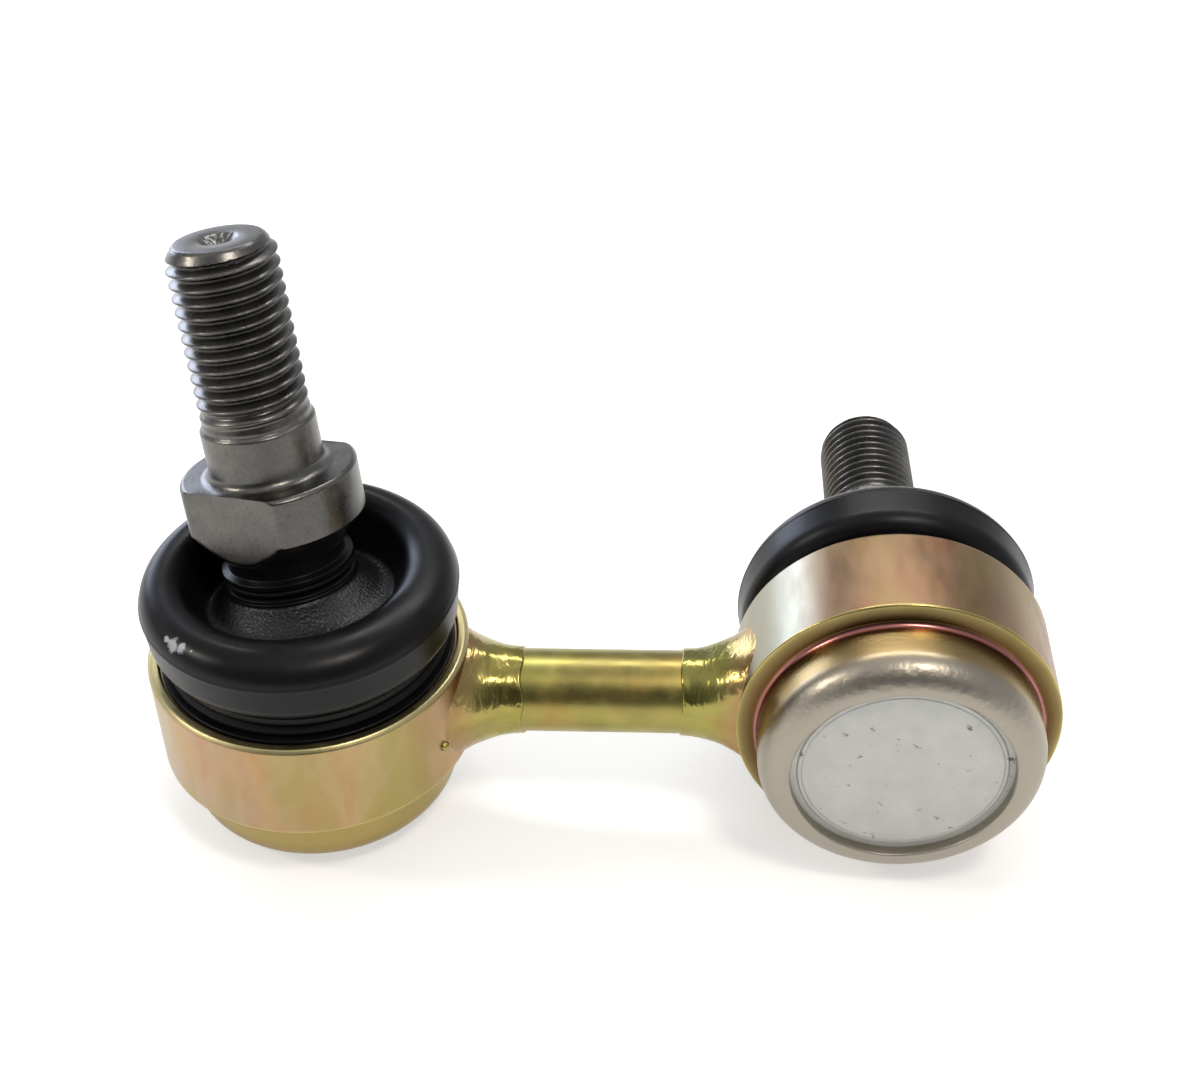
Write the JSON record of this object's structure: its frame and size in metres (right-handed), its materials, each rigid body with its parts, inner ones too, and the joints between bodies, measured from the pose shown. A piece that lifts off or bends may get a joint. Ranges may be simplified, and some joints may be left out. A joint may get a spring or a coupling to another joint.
{
  "type": "stabilizer link",
  "caption": "Short stabilizer link: a round bar welded between ball joint housings whose studs point a quarter turn apart, with rubber boots.",
  "frame": {"origin": "under the middle of the part's box, on the level of its lowest point", "axes": "+X along the bar from the upright joint to the lying one, +Y along the lying joint's housing axis towards its stud, +Z along the upright joint's housing axis towards its stud"},
  "size_m": [0.0864, 0.0608, 0.0603],
  "materials": {
    "yellow_zinc": "zinc plate with a yellow chromate film",
    "weld_bead": "rippled weld under the same yellow chromate",
    "end_plate": "matt pressed steel",
    "seat_plastic": "moulded acetal",
    "spring_steel": "oiled spring steel",
    "stud_steel": "machined and rolled bare steel",
    "boot_rubber": "satin moulded rubber",
    "ring_wire": "blackened wire"
  },
  "bodies": {
    "link": {"link_rod": "yellow_zinc", "left_weld": "weld_bead", "right_weld": "weld_bead", "left_housing": "yellow_zinc", "left_end_plate": "end_plate", "left_upper_seat": "seat_plastic", "left_lower_seat": "seat_plastic", "left_preload_washer": "spring_steel", "left_boot_base_ring": "ring_wire", "right_housing": "yellow_zinc", "right_end_plate": "end_plate", "right_upper_seat": "seat_plastic", "right_lower_seat": "seat_plastic", "right_preload_washer": "spring_steel", "right_boot_base_ring": "ring_wire"},
    "left_boot": {"left_boot": "boot_rubber"},
    "left_neck_ring": {"left_boot_neck_ring": "ring_wire"},
    "left_stud": {"left_ball_stud": "stud_steel"},
    "right_boot": {"right_boot": "boot_rubber"},
    "right_neck_ring": {"right_boot_neck_ring": "ring_wire"},
    "right_stud": {"right_ball_stud": "stud_steel"}
  },
  "joints": [
    {"name": "left_swing_along", "type": "hinge", "parent": "link", "child": "left_boot", "pos_m": [-0.028, -0.01516, 0.01525], "axis": [0, 1, 0], "range_deg": [-11.5, 24.5], "deforming": ["left_boot"]},
    {"name": "left_swing_across", "type": "hinge", "parent": "left_boot", "child": "left_neck_ring", "pos_m": [-0.028, -0.01516, 0.01525], "axis": [0.9936, 0, 0.1132], "range_deg": [-6, 30], "deforming": ["left_boot"]},
    {"name": "left_stud_turn", "type": "hinge", "parent": "left_neck_ring", "child": "left_stud", "pos_m": [-0.028, -0.01516, 0.01525], "axis": [-0.1107, 0.2079, 0.9719], "continuous": true},
    {"name": "right_swing_along", "type": "hinge", "parent": "link", "child": "right_boot", "pos_m": [0.028, -0.01516, 0.01525], "axis": [0, 0, -1], "range_deg": [-18, 18], "deforming": ["right_boot"]},
    {"name": "right_swing_across", "type": "hinge", "parent": "right_boot", "child": "right_neck_ring", "pos_m": [0.028, -0.01516, 0.01525], "axis": [1, 0, 0], "range_deg": [-13.7, 22.3], "deforming": ["right_boot"]},
    {"name": "right_stud_turn", "type": "hinge", "parent": "right_neck_ring", "child": "right_stud", "pos_m": [0.028, -0.01516, 0.01525], "axis": [0, 0.9972, -0.075], "continuous": true}
  ]
}
